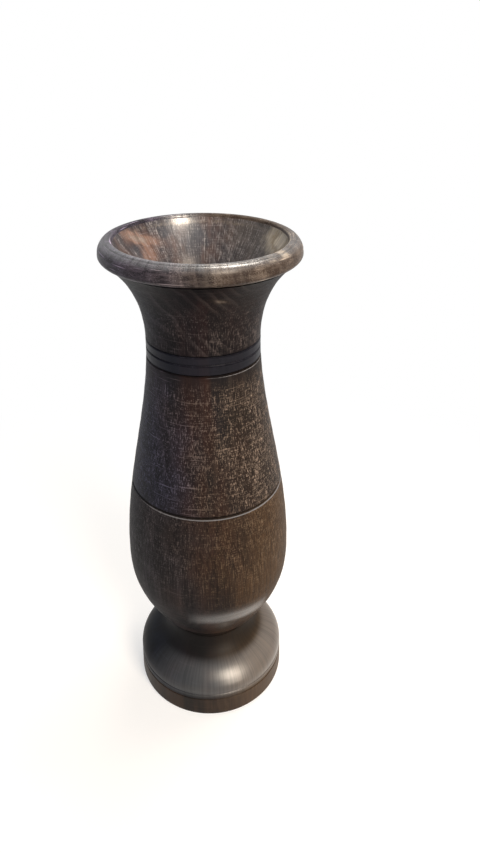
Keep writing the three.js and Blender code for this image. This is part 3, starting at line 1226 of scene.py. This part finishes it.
@dataclass
class Body:
    """The hollow body: the tapered upper part and the belly, glued in the belly groove."""

    profile: VaseProfile
    belly_spigot_length: float = 10.0
    dowel_rise: float = 12.0
    floor_thickness: float = 22.0
    floor_round: float = 24.0

    def build(self) -> list[Piece]:
        """Builds both parts of the body."""
        return [self.upper(), self.lower()]

    def joint(self) -> tuple[float, float, float]:
        """Works out the joint in the belly groove.

        Returns:
            The spigot's bore and outer radius, and the height of the ledge that it stands over.
        """
        profile = self.profile
        bore = profile.radius_at(profile.belly_groove_height) - profile.wall
        ledge = profile.belly_groove_height - self.belly_spigot_length - GLUE
        return bore, bore + (profile.wall - GLUE) / 2, ledge

    def upper(self) -> Piece:
        """Turns the upper body, with a socket for the neck above and a spigot below.

        Returns:
            The finished upper body.
        """
        profile = self.profile
        bore, spigot, ledge = self.joint()
        end = ledge + GLUE
        socket = profile.neck_spigot + GLUE
        socket_floor = profile.collar_bottom - profile.neck_spigot_length - GLUE
        low, high = profile.belly_groove_height + SEAM / 2, profile.collar_bottom - SEAM / 2
        below, above = profile.grooves[2:4]
        edge = profile.radius_at(above.height)
        return Section(
            "upper_body", "dark_wood",
            start=((bore, end), (spigot, end), (spigot, low)),
            shown=(profile.skin(low, high),),
            back=(
                (socket, high), (socket, socket_floor), profile.hollow(socket_floor, below.height)
            ),
            # Painted highlight on the lower lip of the collar's lowest groove, on the side that faces the
            # lamps
            worn_and_lit=(Hoop(edge, above.height - 0.8, 0.35, 0.75, faces=-40, loses=3.0),),
            # Painted shade in the belly groove and the collar groove
            shade_marks=(below.floor(profile.radius_at(low)), above.floor(edge, 0.5)),
        ).turn(BODY_WOOD, HOLLOW_WOOD)

    def lower(self) -> Piece:
        """Turns the belly: a cup whose hollow ends in a rounded floor over the dowel's hole.

        Returns:
            The finished belly.
        """
        profile, groove = self.profile, self.profile.grooves[2]
        _, spigot, ledge = self.joint()
        hole, hole_top = profile.dowel_radius + GLUE, profile.waist_height + self.dowel_rise + GLUE
        low, high = profile.waist_height + SEAM / 2, groove.height - SEAM / 2
        floor_edge = profile.waist_height + self.floor_thickness + self.floor_round
        floor_radius = profile.radius_at(floor_edge) - profile.wall
        floor = arc((0, floor_edge), (floor_radius, self.floor_round), 0, -90, 24)
        floor[-1, 0] = 0.0
        lip = profile.radius_at(high)
        return Section(
            "lower_body", "dark_wood",
            start=((0, hole_top), (hole, hole_top), (hole, low)),
            shown=(profile.skin(low, high),),
            back=(
                (spigot + GLUE, high), (spigot + GLUE, ledge), profile.hollow(ledge, floor_edge),
                floor,
            ),
            # Painted highlight on the belly groove's lower lip, toward the front
            worn_and_lit=(Hoop(lip - 0.15, groove.height - 1.0, 0.45, 1.1, loses=1.2),),
            # Painted shade in the belly groove and round the waist, under the belly's overhang
            shade_marks=(groove.floor(lip), Hoop(profile.waist_radius, low, 10.5, 0.9, edge=2.0)),
            polished=(
                Hoop(46.5, 90.0, 5.5, 1.2, faces=-75.0, loses=13.0),
                Hoop(42.5, 79.0, 11.0, 0.3, loses=6.0),
            ),
        ).turn(BELLY_WOOD, HOLLOW_WOOD)


@dataclass
class Foot:
    """The domed foot, the base under its lower groove and the dowel that is glued into it."""

    profile: VaseProfile
    spigot_radius: float = 22.0
    spigot_length: float = 8.0
    dowel_depth: float = 25.0
    recess_radius: float = 36.0
    recess_depth: float = 1.5

    def build(self) -> list[Piece]:
        """Builds foot and base, and finishes the dowel."""
        return [self.dome(), self.plinth(), self.dowel()]

    def dome(self) -> Piece:
        """Turns the foot, from its spigot up over the dome to the waist.

        Returns:
            The finished foot.
        """
        profile, edge, spigot = self.profile, self.profile.foot_radius, self.spigot_radius
        hole = profile.dowel_radius + GLUE
        hole_floor = profile.waist_height - self.dowel_depth - GLUE
        low, high = profile.plinth_height + SEAM / 2, profile.waist_height - SEAM / 2
        under = profile.plinth_height - self.spigot_length
        grooves = profile.grooves[:2]
        return Section(
            "foot", "polished_wood",
            start=((0, under), (spigot, under), (spigot, low)),
            shown=(profile.skin(low, high, 0.5),),
            back=((hole, high), (hole, hole_floor), (0, hole_floor)),
            turning=HandTurning(ridges=((4.3, 0.008), (11.0, 0.02))),
            # Painted highlights between the grooves, on the side that faces the lamps
            worn_and_lit=tuple(
                Hoop(edge, groove.height + 0.65, 0.3, 0.4, faces=-50, loses=0.9) for groove in grooves
            ),
            # Painted shade in the grooves and in the cove under the belly
            shade_marks=(
                *(groove.floor(edge, 0.55) for groove in grooves),
                Hoop(profile.waist_radius, high, 16.0, 0.85, edge=3.0),
            ),
            polished=(
                Hoop(
                    edge - 4.7, profile.foot_wall_height + 7.0, 12.2, 1.1, faces=-40.0, loses=1.45,
                    edge=4.0,
                ),
            ),
        ).turn(FOOT_WOOD, BARE_WOOD)

    def plinth(self) -> Piece:
        """Turns the base, which stands on a rim round a shallow recess.

        Returns:
            The finished base.
        """
        profile, recess, groove = self.profile, self.recess_depth, self.profile.grooves[0]
        edge = profile.foot_radius + profile.base_spread - profile.base_round
        socket, socket_floor = self.spigot_radius + GLUE, groove.height - self.spigot_length - GLUE
        high = groove.height - SEAM / 2
        return Section(
            "base_plinth", "polished_wood",
            start=((0, recess), (self.recess_radius - recess, recess), (self.recess_radius, 0)),
            shown=(
                arc((edge, profile.base_round), (profile.base_round,) * 2, -90, 0, 14),
                profile.skin(profile.base_round, high, 0.5),
            ),
            back=((socket, high), (socket, socket_floor), (0, socket_floor)),
            turning=HandTurning(ridges=(), oval=0.0),
            # Painted highlight on the groove's lower lip, on the side that faces the lamps
            worn_and_lit=(
                Hoop(profile.foot_radius, groove.height - 0.65, 0.3, 0.5, faces=-50.0, loses=0.9),
            ),
            # Painted shade in the groove
            shade_marks=(groove.floor(profile.foot_radius, 0.8),),
        ).turn(PLINTH_WOOD, BARE_WOOD)

    def dowel(self) -> Piece:
        """Gives the sealed dowel, which stays as the CAD model has it, its bare wood.

        Returns:
            The dowel.
        """
        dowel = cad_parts["waist_dowel"]
        for slot in dowel.material_slots:
            slot.material = BARE_WOOD.material()
        return dowel


@dataclass(frozen=True)
class SoftBox:
    """A square studio lamp that faces the vase.

    The side is measured in degrees from the axis, 0 in front and 90 at the right, the rise is its
    height above the level, and the brightness is that of its face, where 1 is white.
    """

    name: str
    side: float
    rise: float
    distance: float
    size: tuple[float, float]
    brightness: float
    tint: str

    def hang(self, aim: Vector) -> None:
        """Hangs the lamp and turns it to the aim.

        Args:
            aim: the point that it lights.
        """
        lamp = bpy.data.lights.new(self.name, "AREA")
        lamp.shape = "RECTANGLE"
        lamp.size, lamp.size_y = self.size
        lamp.energy = self.brightness * self.size[0] * self.size[1] * FACE_POWER
        lamp.color = srgb(self.tint)[:3]
        side, rise = math.radians(self.side), math.radians(self.rise)
        way = Vector((
            math.sin(side) * math.cos(rise), -math.cos(side) * math.cos(rise), math.sin(rise),
        ))
        holder = put(self.name, lamp)
        holder.location = aim + way * self.distance
        holder.rotation_euler = way.to_track_quat("Z", "Y").to_euler()


@dataclass
class Studio:
    """A pale floor, a white surround and soft lamps at the right."""

    aim: Triple = (0.0, 0.0, 0.14)  # point that every lamp is turned to
    floor_size: float = 60.0
    floor_colour: str = "b9b8b6"
    lift: float = 0.6
    shadow_reach: tuple[float, float] = (0.12, 0.42)
    dim: Triple = (0.04, 0.055, 0.095)
    bright: Triple = (0.34, 0.32, 0.3)
    toward: Triple = (0.75, -0.35, 0.55)
    lamps: tuple[SoftBox, ...] = (
        SoftBox("window_lamp", 30, 37, 2.6, (0.9, 1.2), 13.0, "ffefdb"),
        SoftBox("low_lamp", 30, 11, 2.0, (0.66, 1.0), 5.0, "ffefdb"),
        SoftBox("wide_lamp", 31, 18, 2.0, (1.5, 1.5), 0.5, "fff2e2"),
        SoftBox("side_lamp", 97, 20, 2.0, (1.6, 1.2), 0.35, "fff2e2"),
        SoftBox("ceiling_lamp", 138, 69, 2.0, (1.05, 0.62), 11.0, "fff6ea"),
    )

    def seen(self, bench: Bench) -> Socket:
        """Finds rays from the camera, or that a glossy or clear surface sends on.

        Args:
            bench: the floor's or the world's nodes.

        Returns:
            1 for such rays and 0 for others.
        """
        path = bench.node("ShaderNodeLightPath", {}).outputs
        direct = bench.maths("ADD", path["Is Camera Ray"], path["Is Glossy Ray"], clamp=True)
        return bench.maths("ADD", direct, path["Is Transmission Ray"], clamp=True)

    def floor(self) -> None:
        """Lays the floor, which is lifted to white and turns plain white away from the shadow."""
        half = self.floor_size / 2
        mesh = bpy.data.meshes.new("studio_floor")
        corners = [(-half, -half, 0), (half, -half, 0), (half, half, 0), (-half, half, 0)]
        mesh.from_pydata(corners, [], [(0, 1, 2, 3)])
        made = bpy.data.materials.new("pale_floor")
        mesh.materials.append(made)
        bench = Bench.clear(made)
        matt = bench.node("ShaderNodeBsdfDiffuse", {"Color": srgb(self.floor_colour)})
        lift = bench.times(self.seen(bench), self.lift)
        glow = bench.node("ShaderNodeEmission", {"Color": WHITE, "Strength": lift})
        near = bench.node("ShaderNodeAddShader", {0: matt.outputs[0], 1: glow.outputs[0]})
        away = bench.ramp(bench.vector("LENGTH", bench.here()), *self.shadow_reach)
        white = bench.node("ShaderNodeEmission", {"Color": WHITE, "Strength": 1.0})
        both = bench.node("ShaderNodeMixShader", {
            0: bench.times(away, self.seen(bench)), 1: near.outputs[0], 2: white.outputs[0],
        })
        bench.node("ShaderNodeOutputMaterial", {"Surface": both.outputs[0]})
        put("studio_floor", mesh)

    def surround(self) -> None:
        """Fills the world: white where it is seen, and soft light that grows toward the right.

        The light goes from dim to bright with the cosine between its direction and the bright side.
        """
        world = bpy.data.worlds.new("studio_surround")
        bpy.context.scene.world = world
        bench = Bench.clear(world)
        way = bench.node("ShaderNodeTexCoord", {}).outputs["Generated"]
        lean = bench.vector("DOT_PRODUCT", way, tuple(Vector(self.toward).normalized()))
        light = bench.blend(bench.ramp(lean, -0.3, 1.0), (*self.dim, 1), (*self.bright, 1))
        soft = bench.node("ShaderNodeBackground", {"Color": light, "Strength": 1.0})
        white = bench.node("ShaderNodeBackground", {"Color": WHITE, "Strength": 1.0})
        both = bench.node("ShaderNodeMixShader", {
            0: self.seen(bench), 1: soft.outputs[0], 2: white.outputs[0],
        })
        bench.node("ShaderNodeOutputWorld", {"Surface": both.outputs[0]})

    def build(self) -> None:
        """Builds floor, surround and lamps."""
        self.floor()
        self.surround()
        for lamp in self.lamps:
            lamp.hang(Vector(self.aim))
        bpy.context.scene.view_settings.view_transform = "Standard"


@dataclass(frozen=True)
class PhotoCamera:
    """The camera that took the photograph, a hand's height above the lip, looking down."""

    place: Triple = (0.0, -0.310307, 0.389642)
    pan: float = 0.063007
    tilt: float = 0.557038
    roll: float = -0.00666
    focal_pixels: float = 640.0
    picture_height: float = 853.0
    film: float = 36.0
    clip: tuple[float, float] = (0.01, 200.0)

    def build(self) -> None:
        """Makes the camera and hands it to the scene.

        The view direction is (sin pan cos tilt, cos pan cos tilt, -sin tilt), the level axis to its
        right is (cos pan, -sin pan, 0), and both picture axes are turned about it by the roll.
        """
        way = Vector((
            math.sin(self.pan) * math.cos(self.tilt), math.cos(self.pan) * math.cos(self.tilt),
            -math.sin(self.tilt),
        ))
        level = Vector((math.cos(self.pan), -math.sin(self.pan), 0))
        down = way.cross(level)
        right = level * math.cos(self.roll) + down * math.sin(self.roll)
        down = down * math.cos(self.roll) - level * math.sin(self.roll)
        lens = bpy.data.cameras.new("photo_camera")
        lens.sensor_width = self.film
        lens.lens = self.focal_pixels / self.picture_height * self.film
        lens.clip_start, lens.clip_end = self.clip
        camera = put("photo_camera", lens)
        rows = [[right[i], -down[i], -way[i], self.place[i]] for i in range(3)]
        camera.matrix_world = Matrix([*rows, [0, 0, 0, 1]])
        bpy.context.scene.camera = camera


# A finish's golden_lit colour and lean lighten its right side and its cool_light_tint tints its left side:
# painted light, as the lamps stand at the right
BODY_WOOD = StainedWood(
    "limed_dark_wood", deep="130f12", brown="1a1413", warm="2a1812", golden_lit="1e1712", cool_light_tint="5c5c74",
    fleck="907f73", worn_and_lit="85858a", flecks=0.54, arcs=0.35, roughness=0.55, lean=0.021,
    fade=(150.0, 180.0, 232.0, 243.0),
)
BELLY_WOOD = StainedWood(
    "limed_belly_wood", deep="1a1618", brown="241c1a", warm="33241e", golden_lit="453527", cool_light_tint="5c585e",
    fleck="7a6856", worn_and_lit="808288", flecks=0.42, arcs=0.12, fibre=0.6, roughness=0.55, specular=0.06,
    coat=1.0, coat_roughness=0.18, coat_density=1.6, bump=0.4, lean=0.01,
    fade=(84.0, 130.0, 300.0, 301.0),
)
FLARE_SMEAR = KnotPlace(
    middle=(8.6, -37.6, 285.2), half_axes=(3.4, 3.0, 1.0), turn=(0.0, 0.3, 0.0),
    heart="665c55", edge="5a4f49", glow="3c342f", amounts=(0.5, 0.7, 0.0),
)
FLARE_WOOD = StainedWood(
    "dark_flare_wood", deep="100e11", brown="161215", warm="221617", golden_lit="1e1716", cool_light_tint="5c5a68",
    fleck="786e6c", worn_and_lit="4a443f", flecks=0.5, fleck_length=6.0, weave=0.6, arcs=0.15, rings=0.1,
    ring_width=6.0, ring_lean=(0.8, 0.1, 0.0), fibre=0.5, roughness=0.5, specular=0.07, lean=0.004,
    fade=(254.0, 256.0, 266.0, 290.0), knots=(FLARE_SMEAR,),
)
MOUTH_KNOT = KnotPlace(
    middle=(-31.5, 21.5, 297.8), half_axes=(2.4, 8.5, 2.6), turn=(-0.35, 0.0, -0.9),
    heart="a0948a", edge="957668", glow="85675a", amounts=(0.6, 0.5, 0.5),
)
MOUTH_EMBER = KnotPlace(
    middle=(-27.0, 20.0, 290.0), half_axes=(3.2, 6.0, 2.8), turn=(0.0, 0.0, 0.4),
    heart="8e6e60", edge="8e6e60", glow="805f50", amounts=(0.6, 0.3, 0.3),
)
MOUTH_PATCH = KnotPlace(
    middle=(39.0, 6.0, 300.5), half_axes=(5.0, 9.0, 5.0), turn=(0.0, 0.0, 0.2),
    heart="fff6e4", edge="a69880", glow="e2d8c4", amounts=(1.0, 0.0, 0.95),
)
FUNNEL_WOOD = StainedWood(
    "streaked_mouth_wood", deep="26242c", brown="3d393f", warm="523e38", golden_lit="4c4745",
    fleck="b6b1b3", worn_and_lit="a3988b", grain=Grain.OUTLINE, flecks=0.7, fleck_length=5.0, weave=0.55,
    arcs=0.15, rings=0.1, fibre=0.5, roughness=0.36, specular=0.3, coat=1.0, coat_roughness=0.22,
    coat_density=1.95, brushed=0.3, bump=0.1, knots=(MOUTH_KNOT, MOUTH_EMBER, MOUTH_PATCH),
)
LIP_WOOD = StainedWood(
    "worn_lip_wood", deep="120e12", brown="1f191c", warm="2e211c", golden_lit="362a22", cool_light_tint="605a6c",
    fleck="c0b2a6", worn_and_lit="a89c8d", grain=Grain.OUTLINE, flecks=1.0, fleck_length=0.3, weave=0.1,
    arcs=0.9, streaks=0.1, fibre=0.2, roughness=0.4, specular=0.12, wear_and_highlight=0.85, coat=1.0,
    coat_roughness=0.27, coat_density=2.25, brushed=0.5,
)
BAND_BLACK = StainedWood(
    "ebonised_wood", deep="15151c", brown="1b1b23", warm="1e1a20", fleck="3a3a46", worn_and_lit="484a56",
    cool_light_tint="505a80", arcs=0.15, fibre=0.2, roughness=0.4, specular=0.11, wear_and_highlight=0.6, bump=0.2,
)
FOOT_WOOD = StainedWood(
    "polished_foot_wood", deep="120e0d", brown="1b1311", warm="261a14", golden_lit="4a3b2a",
    cool_light_tint="525a72", fleck="5a4c40", worn_and_lit="5a5148", grain=Grain.OUTLINE, arcs=0.1, rings=0.0,
    coat=1.0, coat_roughness=0.34, coat_density=1.85, brushed=0.2, bump=0.2,
)
PLINTH_WOOD = StainedWood(
    "brown_base_wood", deep="211c1a", brown="322822", warm="3c2f27", golden_lit="4c3d30",
    fleck="5c4e3e", worn_and_lit="6a5d50", arcs=0.2, rings=0.08, pith=(90.0, -90.0, 0.0), bump=0.2,
)
BARE_WOOD = StainedWood(
    "bare_turned_wood", deep="8a6a4a", brown="b08a60", warm="c49a6c", fleck="d8b88c", worn_and_lit="d8b88c",
    rings=0.4, roughness=0.7, specular=0.3,
)
HOLLOW_WOOD = StainedWood(
    "dark_hollow_wood", deep="1e1916", brown="2e2620", warm="352a22", fleck="584a3c", worn_and_lit="584a3c",
    arcs=0.4, rings=0.2, roughness=0.7, specular=0.2,
)


def main() -> None:
    """Builds the vase section by section and reports each piece, then the studio and the camera."""
    logging.basicConfig(level=logging.INFO, format="%(name)s: %(message)s")
    profile = VaseProfile()
    for part in (Mouth(profile), NeckBands(profile), Body(profile), Foot(profile)):
        for piece in part.build():
            log.info("%s: %s, %d faces", type(part).__name__, piece.name, len(piece.data.polygons))
    Studio().build()
    PhotoCamera().build()


if __name__ == "__main__":
    main()
